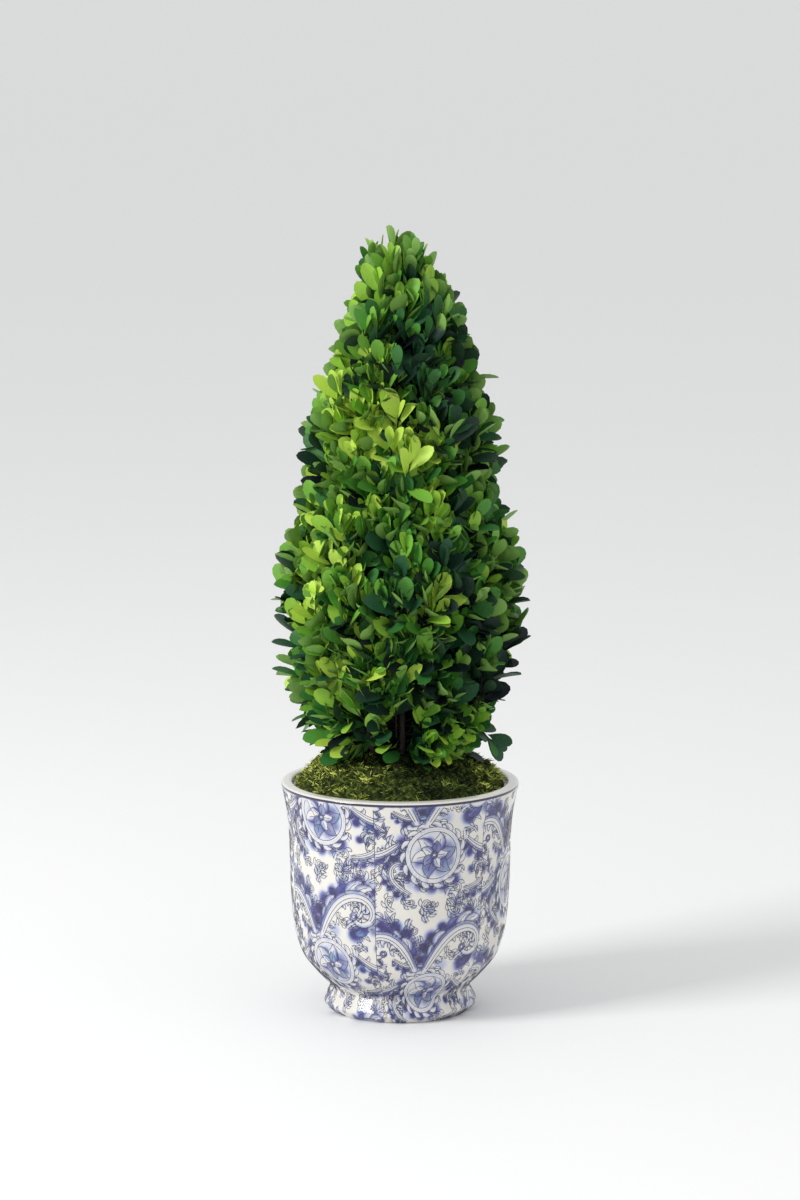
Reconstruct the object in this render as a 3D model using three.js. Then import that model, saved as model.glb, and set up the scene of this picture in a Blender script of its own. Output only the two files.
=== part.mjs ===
// A boxwood clipped to a tall cone, standing in a footed, glazed planter.
// Millimetres, +Z up. The origin is the centre of the planter's foot, at the level it stands on, and -Y is the front.
// The crown is built as clumps of sprigs in tiers round one stem. The lowest tier stands open at the front,
// where the boughs show between the clumps.
import * as THREE from "three";

// Planter
const PLANTER_HEIGHT = 167;
const LIP_RADIUS = 85;
const BODY_RADIUS = 79;
const NECK_RADIUS = 49.5;
const FOOT_RADIUS = 54.5;
const FOOT_RING_INNER = 41;
const FOOT_RECESS = 4;
const MOUTH_RADIUS = 77;
const PLANTER_FLOOR = 25;
const PLANTER_SIDES = 48;

// Filling and moss
const FILL_TOP = 146;
const MOSS_EDGE = 165.5;
const MOSS_RISE = 24;
const MOSS_SIDES = 36;
const CLEARANCE = 0.4;

// Stem and boughs
const STEM_TOP = 476;
const STEM_RADIUS = 7.5;
const STEM_TIP_RADIUS = 1.4;
const ROOT_FLARE = 6;
const ROOT_FLARE_HEIGHT = 9;
const STEM_SIDES = 10;
const BOUGH_RADIUS = 2.7;
const BOUGH_TIP_RADIUS = 1.7;
const BOUGH_REACH = 47;
const BOUGH_TOP = 232;
const BOUGH_SIDES = 6;

// Crown
const CROWN_FOOT = 185;
const CROWN_WIDEST = 305;
const CROWN_TOP = 569;
const CROWN_RADIUS = 88;
const CLUMP_START = 14;
const CLUMP_GAP = 1.4;
const FOOT_GAP = 7.5;
const FOOT_HOLLOW = 17;
const TIER_RISE = 14;
const TIER_SWAY = 3;
const CUT_SWAY = 4;
const GROOVE = 4.5;
const LUMP = 0.055;
const WAIST = 375;
const WAIST_DEPTH = 0.06;
const WAIST_SPREAD = 24;

// Each tier: its name, its top at the crown's face, and the angles of the cuts between its clumps.
// Angles are in degrees from the front, positive towards +X.
const TIERS = [
  { name: "foot", top: 240, cuts: [-28, 2, 72, 142, 204, 274], gap: FOOT_GAP },
  { name: "lower", top: 302, cuts: [-52, 40, 128, 218], gap: CLUMP_GAP },
  { name: "middle", top: 366, cuts: [-12, 82, 170, 262], gap: CLUMP_GAP },
  { name: "upper", top: 430, cuts: [-64, 54, 176], gap: CLUMP_GAP },
  { name: "shoulder", top: 490, cuts: [-4, 118, 236], gap: CLUMP_GAP },
];

const LOOKS = {
  glaze: { color: 0xdcdad2, roughness: 0.18, metalness: 0 },
  soil: { color: 0x2c2119, roughness: 1, metalness: 0 },
  moss: { color: 0x66752a, roughness: 1, metalness: 0 },
  bark: { color: 0x4a3c2c, roughness: 0.9, metalness: 0 },
  leaf: { color: 0x3f7a22, roughness: 0.55, metalness: 0 },
};

const topiary = new THREE.Group();

function add(name, geometry, look) {
  const mesh = new THREE.Mesh(geometry, new THREE.MeshStandardMaterial(LOOKS[look]));
  mesh.name = name;
  topiary.add(mesh);
}

const radians = THREE.MathUtils.degToRad;
const mix = THREE.MathUtils.lerp;

// A solid of revolution about Z. The outline runs from the axis round the outside and back to the axis, as [radius, height].
function turned(outline, sides) {
  const points = outline.map(([radius, height]) => new THREE.Vector2(radius, height));
  return new THREE.LatheGeometry(points, sides).rotateX(Math.PI / 2);
}

// Points of a smooth curve through a few stations, the ends included.
function through(stations, count) {
  const curve = new THREE.SplineCurve(stations.map(([r, z]) => new THREE.Vector2(r, z)));
  return curve.getSpacedPoints(count).map((p) => [p.x, p.y]);
}

// The planter's inner wall, from the mouth down to the floor.
const INNER_WALL = through(
  [
    [MOUTH_RADIUS, PLANTER_HEIGHT - 1.5],
    [MOUTH_RADIUS - 1.5, PLANTER_HEIGHT - 12],
    [BODY_RADIUS - 7, 112],
    [BODY_RADIUS - 9, 72],
    [BODY_RADIUS - 24, 40],
    [30, PLANTER_FLOOR + 2],
  ],
  7,
);

function planter() {
  const foot = through(
    [
      [FOOT_RADIUS - 5, 0],
      [FOOT_RADIUS, 5.5],
      [FOOT_RADIUS - 2, 11],
      [NECK_RADIUS, 17],
    ],
    4,
  );
  const body = through(
    [
      [NECK_RADIUS + 2, 20],
      [62, 31],
      [70.5, 43],
      [76, 63],
      [BODY_RADIUS - 0.5, 92],
      [BODY_RADIUS + 0.4, 130],
      [BODY_RADIUS + 3, 157],
    ],
    7,
  );
  const lip = [
    [LIP_RADIUS - 0.8, PLANTER_HEIGHT - 6.5],
    [LIP_RADIUS, PLANTER_HEIGHT - 4],
    [LIP_RADIUS - 1, PLANTER_HEIGHT - 2],
    [LIP_RADIUS - 3.5, PLANTER_HEIGHT - 0.4],
    [MOUTH_RADIUS + 2, PLANTER_HEIGHT],
  ];
  const underside = [
    [0, FOOT_RECESS],
    [FOOT_RING_INNER - 1.5, FOOT_RECESS],
    [FOOT_RING_INNER, 0],
  ];
  const outline = [...underside, ...foot, ...body, ...lip, ...INNER_WALL, [0, PLANTER_FLOOR]];
  return turned(outline, PLANTER_SIDES);
}

// The inner wall's radius at a height, with the clearance taken off.
function wallRadius(height) {
  const above = INNER_WALL.findLastIndex(([, z]) => z >= height);
  const [r0, z0] = INNER_WALL[above];
  const [r1, z1] = INNER_WALL[above + 1];
  return mix(r0, r1, (z0 - height) / (z0 - z1)) - CLEARANCE * 2;
}

function pottingFill() {
  const floor = PLANTER_FLOOR + 2 + CLEARANCE;
  const heights = [34, 50, 72, 108, FILL_TOP];
  const wall = heights.map((z) => [wallRadius(z), z]);
  return turned([[0, floor], [28, floor], ...wall, [0, FILL_TOP]], MOSS_SIDES);
}

// The moss's height at a radius: a cushion that is steep at the planter's mouth and nearly flat under the crown.
const MOSS_RADIUS = MOUTH_RADIUS - 2.4;
const mossHeight = (r) => MOSS_EDGE + MOSS_RISE * (1 - Math.min(1, r / MOSS_RADIUS) ** 4);
const MOSS_CENTRE = mossHeight(0);

function mossBed() {
  const low = FILL_TOP + CLEARANCE;
  const radii = [1, 0.93, 0.84, 0.72, 0.55, 0.33, 0.24].map((share) => share * MOSS_RADIUS);
  const top = radii.map((r) => [r, mossHeight(r)]);
  const geometry = turned([[0, low], [MOSS_RADIUS, low], ...top, [0, MOSS_CENTRE]], MOSS_SIDES);
  const place = geometry.getAttribute("position");
  const flat = 0.25 * MOSS_RADIUS;
  for (let i = 0; i < place.count; i++) {
    const [x, y, z] = [place.getX(i), place.getY(i), place.getZ(i)];
    const r = Math.hypot(x, y);
    if (z <= low + 1 || r < flat || r > 0.99 * MOSS_RADIUS) continue;
    const lumps = Math.sin(x / 7 + 2) * Math.cos(y / 6) + 0.6 * Math.sin((x - y) / 4.3);
    place.setZ(i, z - 1.1 + 0.9 * lumps);
  }
  return geometry;
}

// A limb closed at both ends: rings of the given radii at the given shares of a curve's length.
// The curve lies in one plane, and side is the direction across that plane. A level limb's first ring lies flat.
function limb(curve, side, radiusAt, sides, shares, level = false) {
  const corners = [];
  const faces = [];
  shares.forEach((share, i) => {
    const centre = curve.getPointAt(share);
    const along = level && i === 0 ? new THREE.Vector3(0, 0, 1) : curve.getTangentAt(share);
    const other = new THREE.Vector3().crossVectors(along, side);
    const radius = radiusAt(share);
    for (let j = 0; j < sides; j++) {
      const turn = (j / sides) * 2 * Math.PI;
      const point = centre.clone();
      point.addScaledVector(side, radius * Math.cos(turn));
      point.addScaledVector(other, radius * Math.sin(turn));
      corners.push(...point);
    }
  });
  const start = corners.length / 3;
  const last = (shares.length - 1) * sides;
  corners.push(...curve.getPointAt(0), ...curve.getPointAt(1));
  for (let j = 0; j < sides; j++) {
    const next = (j + 1) % sides;
    faces.push(start, next, j);
    faces.push(start + 1, last + j, last + next);
    for (let ring = 0; ring < last; ring += sides) {
      const [a, b] = [ring + j, ring + next];
      faces.push(a, b, b + sides, a, b + sides, a + sides);
    }
  }
  const geometry = new THREE.BufferGeometry();
  geometry.setAttribute("position", new THREE.Float32BufferAttribute(corners, 3));
  return geometry.setIndex(faces);
}

// The stem's centre line leans a little and straightens again, by at most this much.
const STEM_LEAN = 2;
const STEM_FOOT = MOSS_CENTRE + CLEARANCE;

function stem() {
  const lean = new THREE.Vector3(2, 1, 0).normalize();
  const places = [0, 0.2, 0.45, 0.7, 1].map((share) => {
    const place = new THREE.Vector3(0, 0, mix(STEM_FOOT, STEM_TOP, share));
    return place.addScaledVector(lean, STEM_LEAN * Math.sin(share * Math.PI));
  });
  const curve = new THREE.CatmullRomCurve3(places);
  const length = STEM_TOP - STEM_FOOT;
  const flare = (share) => ROOT_FLARE * Math.exp((-share * length) / ROOT_FLARE_HEIGHT);
  const radius = (share) => mix(STEM_RADIUS, STEM_TIP_RADIUS, share) + flare(share);
  const across = new THREE.Vector3(-lean.y, lean.x, 0);
  return limb(curve, across, radius, STEM_SIDES, [0, 0.012, 0.03, 0.06, 0.12, 0.25, 0.45, 0.7, 1], true);
}

// A point at an angle from the front.
function polar(angle, radius, height) {
  return new THREE.Vector3(radius * Math.sin(angle), -radius * Math.cos(angle), height);
}

// A bough leaves the root flare, runs out over the moss, turns up and ends where it enters the second tier.
function bough(angle) {
  const curve = new THREE.CatmullRomCurve3([
    polar(angle, 12.6, STEM_FOOT + 4.5),
    polar(angle, 26, mossHeight(26) + BOUGH_RADIUS + 2),
    polar(angle, 38, mossHeight(38) + BOUGH_RADIUS + 4),
    polar(angle, BOUGH_REACH - 2, mix(mossHeight(BOUGH_REACH), BOUGH_TOP, 0.4)),
    polar(angle, BOUGH_REACH, BOUGH_TOP),
  ]);
  const across = new THREE.Vector3(Math.cos(angle), Math.sin(angle), 0);
  const radius = (share) => mix(BOUGH_RADIUS, BOUGH_TIP_RADIUS, share);
  return limb(curve, across, radius, BOUGH_SIDES, [0, 0.16, 0.32, 0.46, 0.6, 0.76, 1]);
}

// The clipped cone's radius at a height: full at the widest level, drawn in below it and tapered to the tip,
// with a shallow waist where the shears went deeper.
function crownRadius(height) {
  const up = THREE.MathUtils.clamp((height - CROWN_WIDEST) / (CROWN_TOP - CROWN_WIDEST), 0, 1);
  const down = THREE.MathUtils.clamp((CROWN_WIDEST - height) / (CROWN_WIDEST - CROWN_FOOT), 0, 1);
  const taper = (1 - up ** 1.35) ** 0.58;
  const tuck = 1 - 0.12 * down ** 1.2 - 0.21 * down ** 6;
  const waist = 1 - WAIST_DEPTH * Math.exp(-(((height - WAIST) / WAIST_SPREAD) ** 2));
  return CROWN_RADIUS * taper * tuck * waist;
}

// How far sprigs stand out of the clipped face or fall short of it, as a share of the radius.
function lump(angle, height) {
  const rows = Math.sin(5 * angle + height / 11) * Math.cos(3 * angle - height / 17);
  const sprigs = Math.sin(11 * angle - height / 8) * Math.sin(height / 9 + 2 * angle);
  return LUMP * (0.6 * rows + 0.6 * sprigs);
}

// The surface between one tier and the next climbs outwards, as the sprigs do, and sways round the stem.
function tierFace(top) {
  return (radius, angle) => {
    const share = radius / CROWN_RADIUS;
    return top - TIER_RISE * (1 - share) + TIER_SWAY * share * Math.sin(3 * angle + top);
  };
}

// The lowest tier's underside: close to the moss outside, and lifted off it round the boughs.
function crownUnderside(radius) {
  const inside = 1 - THREE.MathUtils.smoothstep(radius, 36, 50);
  return mossHeight(radius) + 2 + FOOT_HOLLOW * inside;
}

// The cut between two clumps sways sideways as it climbs, but is straight in the lowest tier, where it holds a bough.
function sway(cut, height) {
  const above = Math.max(0, height - TIERS[0].top);
  return radians(CUT_SWAY) * Math.sin(above / 21) * Math.cos(3 * cut);
}

// A clump fills the place between two cuts, two tier faces, the stem and the clipped face.
// Its outer face swells between the shallow grooves that part it from its neighbours.
function clump(from, to, low, high, gap) {
  const steps = Math.max(4, Math.round((to - from) / radians(13)));
  const deep = low === crownUnderside ? 4 : 1;
  const geometry = new THREE.BoxGeometry(2, 2, 2, steps, deep, 6);
  const place = geometry.getAttribute("position");
  for (let i = 0; i < place.count; i++) {
    const [across, outward, upward] = [-place.getX(i), place.getY(i), place.getZ(i)];
    const edge = Math.max(Math.abs(across), Math.abs(upward));
    let angle = mix(from, to, (across + 1) / 2);
    let radius = CROWN_RADIUS / 2;
    let height = mix(low(radius, angle), high(radius, angle), (upward + 1) / 2);
    for (let pass = 0; pass < 8; pass++) {
      const inset = gap / 2 / radius;
      angle = mix(from + sway(from, height) + inset, to + sway(to, height) - inset, (across + 1) / 2);
      const face = crownRadius(height) * (1 + lump(angle, height)) - GROOVE * edge ** 7;
      radius = mix(CLUMP_START, face, (outward + 1) / 2);
      const bottom = low(radius, angle) + CLUMP_GAP / 2;
      height = mix(bottom, high(radius, angle) - CLUMP_GAP / 2, (upward + 1) / 2);
    }
    place.setXYZ(i, radius * Math.sin(angle), -radius * Math.cos(angle), height);
  }
  return geometry;
}

// The tip: one clump right round, over the top of the stem.
function tip(low) {
  const levels = [0.3, 0.6, 0.83, 1];
  const face = [0, 0.13, 0.26, 0.39, 0.52, 0.65, 0.77, 0.87, 0.95];
  const under = levels.map((share) => [share, 0]);
  const geometry = turned([[0, 0], ...under, ...face.slice(1).map((up) => [1, up]), [0, 1]], 16);
  const place = geometry.getAttribute("position");
  for (let i = 0; i < place.count; i++) {
    const [x, y, up] = [place.getX(i), place.getY(i), place.getZ(i)];
    const share = Math.hypot(x, y);
    const angle = Math.atan2(x, -y);
    let radius = share;
    let height = low(0, angle);
    for (let pass = 0; pass < 8; pass++) {
      const groove = GROOVE * share * (1 - up) ** 12;
      radius = share * crownRadius(height) * (1 + lump(angle, height)) - groove;
      height = mix(low(radius, angle) + CLUMP_GAP / 2, CROWN_TOP, up);
    }
    place.setXYZ(i, radius * Math.sin(angle), -radius * Math.cos(angle), height);
  }
  return geometry;
}

add("planter", planter(), "glaze");
add("potting_fill", pottingFill(), "soil");
add("moss_bed", mossBed(), "moss");
add("stem", stem(), "bark");

let low = crownUnderside;
for (const tier of TIERS) {
  const high = tierFace(tier.top);
  tier.cuts.forEach((cut, i) => {
    const next = i + 1 < tier.cuts.length ? tier.cuts[i + 1] : tier.cuts[0] + 360;
    const [from, to] = [radians(cut), radians(next)];
    add(`foliage_${tier.name}_${i + 1}`, clump(from, to, low, high, tier.gap), "leaf");
    if (tier.name === "foot") add(`bough_${i + 1}`, bough(from), "bark");
  });
  low = high;
}
add("foliage_tip", tip(low), "leaf");

export default topiary;
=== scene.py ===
"""A boxwood clipped to a tall cone, in a footed planter with blue scrollwork under its glaze.

Sizes inside the shape functions are millimetres; make_piece() puts them into the scene in metres.
+Z is up, -Y is the front, and angles round the stem are counted from the front towards +X.
"""

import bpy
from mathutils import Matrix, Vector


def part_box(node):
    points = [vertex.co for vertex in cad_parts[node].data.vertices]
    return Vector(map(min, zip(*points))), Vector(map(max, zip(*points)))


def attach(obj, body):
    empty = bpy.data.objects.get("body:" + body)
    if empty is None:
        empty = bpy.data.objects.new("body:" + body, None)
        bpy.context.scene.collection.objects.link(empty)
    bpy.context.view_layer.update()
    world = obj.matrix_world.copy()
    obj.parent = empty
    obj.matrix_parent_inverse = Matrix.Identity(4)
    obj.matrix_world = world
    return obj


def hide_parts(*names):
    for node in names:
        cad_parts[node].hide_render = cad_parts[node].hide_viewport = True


bl_info = {
    "name": "Cone topiary",
    "version": (1, 0, 0),
    "blender": (4, 5, 0),
    "location": "View3D > Sidebar > Topiary",
    "description": "Builds a clipped boxwood cone with its moss and its scroll-patterned planter",
    "category": "Add Mesh",
}

import bpy
import numpy as np
from bpy.props import FloatProperty, FloatVectorProperty, IntProperty, PointerProperty
from mathutils import Vector

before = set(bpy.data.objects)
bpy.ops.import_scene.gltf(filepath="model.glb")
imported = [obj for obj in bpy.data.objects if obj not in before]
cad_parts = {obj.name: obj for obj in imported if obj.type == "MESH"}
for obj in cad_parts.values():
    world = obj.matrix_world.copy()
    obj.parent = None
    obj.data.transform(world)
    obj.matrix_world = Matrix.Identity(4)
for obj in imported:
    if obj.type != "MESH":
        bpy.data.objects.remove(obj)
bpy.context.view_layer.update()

MM = 0.001
TAU = 2 * np.pi
GOLDEN_ANGLE = np.pi * (3 - 5**0.5)
UP = np.array([0.0, 0.0, 1.0])


def node_box(name):
    """Lowest and highest corner of a CAD node in millimetres."""
    low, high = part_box(name)
    return np.array(low) / MM, np.array(high) / MM


PLANTER_TOP = node_box("planter")[1]
STEM_BOX = node_box("stem")
MOSS_BOX = node_box("moss_bed")
CROWN_TOP = node_box("foliage_tip")[1][2]

# The crown's tiers, each with the height it ends below.
TIERS = {"foot": 240, "lower": 302, "middle": 366, "upper": 430, "shoulder": 490, "tip": 999}
BOUGH_ANGLES = np.radians([-28, 2, 72, 142, 204, 274])
BOUGH_TOP = 232.0


# ---------------------------------------------------------------- curves, noise and meshes


def unit(vectors):
    """Each vector divided by its own length."""
    return vectors / np.maximum(np.linalg.norm(vectors, axis=-1, keepdims=True), 1e-9)


def smooth_step(value, low, high):
    """0 below low, 1 above high, and 3t^2 - 2t^3 between."""
    t = np.clip((value - low) / (high - low), 0, 1)
    return t * t * (3 - 2 * t)


def direction(turn):
    """Flat unit vectors at angles counted from the first axis towards the second."""
    return np.stack([np.cos(turn), np.sin(turn)], -1)


def bezier(a, b, c, u):
    """Points at u along the quadratic Bezier: (1 - u)^2 a + 2 u (1 - u) b + u^2 c."""
    return (1 - u) ** 2 * a + 2 * u * (1 - u) * b + u**2 * c


def catmull_rom(stations, count):
    """Points along the uniform Catmull-Rom curve through the stations, ends repeated."""
    p = np.asarray(stations, float)
    t = np.linspace(0, len(p) - 1, count)
    i = np.minimum(t.astype(int), len(p) - 2)
    w = (t - i)[:, None]
    a, b, c, d = p[np.maximum(i - 1, 0)], p[i], p[i + 1], p[np.minimum(i + 2, len(p) - 1)]
    v0, v1 = (c - a) / 2, (d - b) / 2
    return (2 * b - 2 * c + v0 + v1) * w**3 + (-3 * b + 3 * c - 2 * v0 - v1) * w**2 + v0 * w + b


def waves(points, size, seed):
    """A smooth random field of about unit height: twelve sine waves of random direction, with wavelengths
    from half to one and a half times size, summed at each point and divided by 3.5."""
    rng = np.random.default_rng(seed)
    points = np.asarray(points, float)
    total = np.zeros(points.shape[:-1])
    for _ in range(12):
        heading = unit(rng.normal(size=points.shape[-1]))
        total += np.sin(points @ heading * TAU / (size * rng.uniform(0.5, 1.5)) + rng.uniform(0, TAU))
    return total / 3.5


def ring_faces(rows, columns):
    """Faces of a closed skin of rings, numbered ring by ring, with the two middle points of its ends last:
    quads between neighbouring rings, and triangles from the middle points to the first and the last ring."""
    i = np.arange(rows - 1)[:, None] * columns
    j = np.arange(columns)
    j2 = (j + 1) % columns
    quads = np.stack([i + j, i + j2, i + columns + j2, i + columns + j], -1).reshape(-1, 4)
    middle = np.full(columns, rows * columns)
    last = (rows - 1) * columns
    low = np.stack([middle, j2, j], -1)
    high = np.stack([middle + 1, last + j, last + j2], -1)
    return quads, np.concatenate([low, high])


def make_piece(name, points, face_sets, materials, nodes=(), face_material=None, sharp=None):
    """A mesh object from points in millimetres and arrays of triangles or quads. It rides on the root body,
    takes the slot's finish and stands for the CAD nodes. face_material numbers each face's material, and
    sharp(a, b) says which edges are creased."""
    mesh = bpy.data.meshes.new(name)
    sizes = np.concatenate([np.full(len(faces), faces.shape[1]) for faces in face_sets])
    corners = np.concatenate([faces.ravel() for faces in face_sets]).astype(np.int32)
    starts = np.concatenate([[0], np.cumsum(sizes)[:-1]]).astype(np.int32)
    mesh.vertices.add(len(points))
    mesh.vertices.foreach_set("co", (np.asarray(points, float) * MM).astype(np.float32).ravel())
    mesh.loops.add(len(corners))
    mesh.loops.foreach_set("vertex_index", corners)
    mesh.polygons.add(len(sizes))
    mesh.polygons.foreach_set("loop_start", starts)
    mesh.polygons.foreach_set("use_smooth", np.ones(len(sizes), bool))
    if face_material is not None:
        mesh.polygons.foreach_set("material_index", np.asarray(face_material, np.int32))
    mesh.update(calc_edges=True)
    if sharp is not None:
        ends = np.zeros(len(mesh.edges) * 2, np.int32)
        mesh.edges.foreach_get("vertices", ends)
        creased = sharp(ends[0::2], ends[1::2])
        mesh.attributes.new("sharp_edge", "BOOLEAN", "EDGE").data.foreach_set("value", creased)
    for material in materials:
        mesh.materials.append(material)
    piece = bpy.data.objects.new(name, mesh)
    bpy.context.scene.collection.objects.link(piece)
    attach(piece, "root")
    if nodes:
        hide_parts(*nodes)
    return piece


def tubes(paths, radii, sides):
    """Round limbs along paths (n, k, 3) with radii (n, k): each ring is centre + r (cos a e1 + sin a e2),
    where e1 and e2 stand square to the path. Both ends close on a middle point. Gives points, quads and
    triangles."""
    n, k, _ = paths.shape
    along = unit(np.gradient(paths, axis=1))
    whole = unit(paths[:, -1] - paths[:, 0])
    across = unit(np.cross(whole, np.where(np.abs(whole[:, 2:]) < 0.7, UP, np.array([1.0, 0, 0]))))
    e1 = unit(across[:, None] - along * np.sum(across[:, None] * along, -1, keepdims=True))
    e2 = np.cross(along, e1)
    turn = np.linspace(0, TAU, sides, endpoint=False)
    ring = np.cos(turn)[:, None] * e1[:, :, None] + np.sin(turn)[:, None] * e2[:, :, None]
    walls = (paths[:, :, None] + radii[:, :, None, None] * ring).reshape(n, k * sides, 3)
    points = np.concatenate([walls, paths[:, :1], paths[:, -1:]], axis=1)
    return points.reshape(-1, 3), *(copies(faces, n, k * sides + 2) for faces in ring_faces(k, sides))


def copies(faces, count, step):
    """The faces of count like shapes, each with step points, that follow one another."""
    return (faces + (np.arange(count) * step)[:, None, None]).reshape(-1, faces.shape[1])


# ---------------------------------------------------------------- materials


def make_finish(name, colour, roughness, relief=(), specular=0.5, coat=0.0, stops=()):
    """The material of this name, made once: plain values on its Principled shader, bumped by the fine relief.
    relief holds its scale, its height in millimetres and its stretch along Z. stops are (place, display
    colour) of a ramp that colours the surface by its relief."""
    if name in bpy.data.materials:
        return bpy.data.materials[name]
    material = bpy.data.materials.new(name)
    material.use_nodes = True
    material.diffuse_color = (*colour, 1)
    tree = material.node_tree
    shader = tree.nodes["Principled BSDF"]
    values = {"Base Color": (*colour, 1), "Roughness": roughness, "Specular IOR Level": specular}
    values |= {"Coat Weight": coat, "Coat Roughness": 0.06}
    for socket, value in values.items():
        shader.inputs[socket].default_value = value
    if relief:
        height = add_relief(tree, shader, *relief)
        if stops:
            tree.links.new(ramp(tree, height, stops), shader.inputs["Base Color"])
    return material


def relief_group():
    """The node group "Fine relief": noise of a given scale and stretch along Z, as a height to bump."""
    if "Fine relief" in bpy.data.node_groups:
        return bpy.data.node_groups["Fine relief"]
    group = bpy.data.node_groups.new("Fine relief", "ShaderNodeTree")
    for name, value in (("Scale", 100), ("Stretch", 1), ("Roughness", 0.6)):
        group.interface.new_socket(name, in_out="INPUT", socket_type="NodeSocketFloat").default_value = value
    group.interface.new_socket("Height", in_out="OUTPUT", socket_type="NodeSocketFloat")
    kinds = ("NodeGroupInput", "NodeGroupOutput", "ShaderNodeTexCoord", "ShaderNodeCombineXYZ")
    inputs, outputs, place, vector = (group.nodes.new(kind) for kind in kinds)
    stretch, noise = (group.nodes.new(kind) for kind in ("ShaderNodeVectorMath", "ShaderNodeTexNoise"))
    stretch.operation = "MULTIPLY"
    noise.inputs["Detail"].default_value = 4
    vector.inputs["X"].default_value = 1
    vector.inputs["Y"].default_value = 1
    for source, target in (
        (inputs.outputs["Stretch"], vector.inputs["Z"]),
        (place.outputs["Object"], stretch.inputs[0]),
        (vector.outputs["Vector"], stretch.inputs[1]),
        (stretch.outputs["Vector"], noise.inputs["Vector"]),
        (inputs.outputs["Scale"], noise.inputs["Scale"]),
        (inputs.outputs["Roughness"], noise.inputs["Roughness"]),
        (noise.outputs["Fac"], outputs.inputs["Height"]),
    ):
        group.links.new(source, target)
    return group


def add_relief(tree, shader, scale, depth, stretch=1.0):
    """Bumps the shader's normal by the fine relief, depth millimetres high, and gives its height's socket."""
    relief = tree.nodes.new("ShaderNodeGroup")
    relief.node_tree = relief_group()
    relief.inputs["Scale"].default_value = scale
    relief.inputs["Stretch"].default_value = stretch
    bump = tree.nodes.new("ShaderNodeBump")
    bump.inputs["Distance"].default_value = depth * MM
    tree.links.new(relief.outputs["Height"], bump.inputs["Height"])
    tree.links.new(bump.outputs["Normal"], shader.inputs["Normal"])
    return relief.outputs["Height"]


def ramp(tree, factor, stops):
    """The output of a colour ramp driven by a factor socket; stops are (place, display colour)."""
    node = tree.nodes.new("ShaderNodeValToRGB")
    band = node.color_ramp
    while len(band.elements) < len(stops):
        band.elements.new(0.5)
    for element, (place, colour) in zip(band.elements, stops):
        element.position = place
        element.color = (*srgb(*colour), 1)
    tree.links.new(factor, node.inputs["Fac"])
    return node.outputs["Color"]


def srgb(red, green, blue):
    """Linear values of a colour given as 0 to 255 display values."""
    c = np.array([red, green, blue]) / 255
    return tuple(float(v) for v in np.where(c <= 0.04045, c / 12.92, ((c + 0.055) / 1.055) ** 2.4))


# ---------------------------------------------------------------- the planter's wall


def planter_profile():
    """The planter's outline as [radius, height] from the axis under the foot, up the outside, over the lip
    and down the inside to the floor, each stretch a smooth curve through a few stations. Also gives the
    numbers of the first and last point of the outside wall."""
    lip, top = PLANTER_TOP[0], PLANTER_TOP[2]
    under = [(0, 4), (20, 4), (39, 4), (39.8, 3.4), (40.6, 0.4), (41.4, 0), (45, 0)]
    foot = catmull_rom([(49.5, 0), (54.5, 5.5), (52.5, 11), (49.5, 17)], 18)
    wall = [(51.5, 20), (62, 31), (70.5, 43), (76, 63), (78.4, 92), (79.4, 127), (81, 145)]
    wall += [(83.4, 158), (lip - 0.3, 163.4)]
    body = catmull_rom(wall, 136)
    rim = [(lip - 0.1, 164), (lip, 164.8), (lip - 0.3, 165.6), (lip - 1.4, 166.5), (lip - 3.8, top - 0.1)]
    rim += [(lip - 6, top), (lip - 7.4, top - 0.7), (lip - 8, top - 2.2)]
    mouth = catmull_rom(rim, 30)
    inside = catmull_rom([(76.4, 160), (75.5, 155), (72, 112), (70, 72), (55, 40), (30, 27)], 12)
    outline = np.concatenate([under, foot, body, mouth, inside, [(12, 25), (0, 25)]])
    return outline, len(under), len(under) + len(foot) + len(body) - 1


PROFILE, WALL_FIRST, WALL_LAST = planter_profile()
WALL = PROFILE[WALL_FIRST : WALL_LAST + 1]
WALL_LENGTH = np.concatenate([[0], np.cumsum(np.linalg.norm(np.diff(WALL, axis=0), axis=1))])
BAND_RADIUS = 79.0
BAND = TAU * BAND_RADIUS
LIP_LINE = (163.6, 165.4)


def on_wall(place, lift=0.0):
    """A point (s, t) of the pattern, on the wall: s runs round the planter at the body's radius, and t up
    the outline from the foot. lift stands it off along the outline's normal."""
    s, t = place[..., 0], place[..., 1]
    radius = np.interp(t, WALL_LENGTH, WALL[:, 0])
    height = np.interp(t, WALL_LENGTH, WALL[:, 1])
    slope = np.gradient(WALL, WALL_LENGTH, axis=0)
    out = np.interp(t, WALL_LENGTH, slope[:, 1])
    rise = -np.interp(t, WALL_LENGTH, slope[:, 0])
    size = np.hypot(out, rise)
    radius, height = radius + lift * out / size, height + lift * rise / size
    angle = s / BAND_RADIUS
    return np.stack([radius * np.sin(angle), -radius * np.cos(angle), height], -1)


# ---------------------------------------------------------------- the scrollwork

# The pattern is a sheet this wide and tall, laid round the planter in upright strips that don't quite match.
# It is worked out on a grid, and shapes with an edge softer than SOFT are washes.
STRIPS = 6
SHEET_WIDTH = BAND / STRIPS
SHEET_HEIGHT = 109.0
SHEET_GRID = 0.5
SOFT = 0.9
STRIP_SHIFTS = SHEET_HEIGHT * np.array([0.02, 0.3, 0.64, 0.12, 0.45, 0.8])
FIRST_SEAM = -0.225 * BAND_RADIUS


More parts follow.
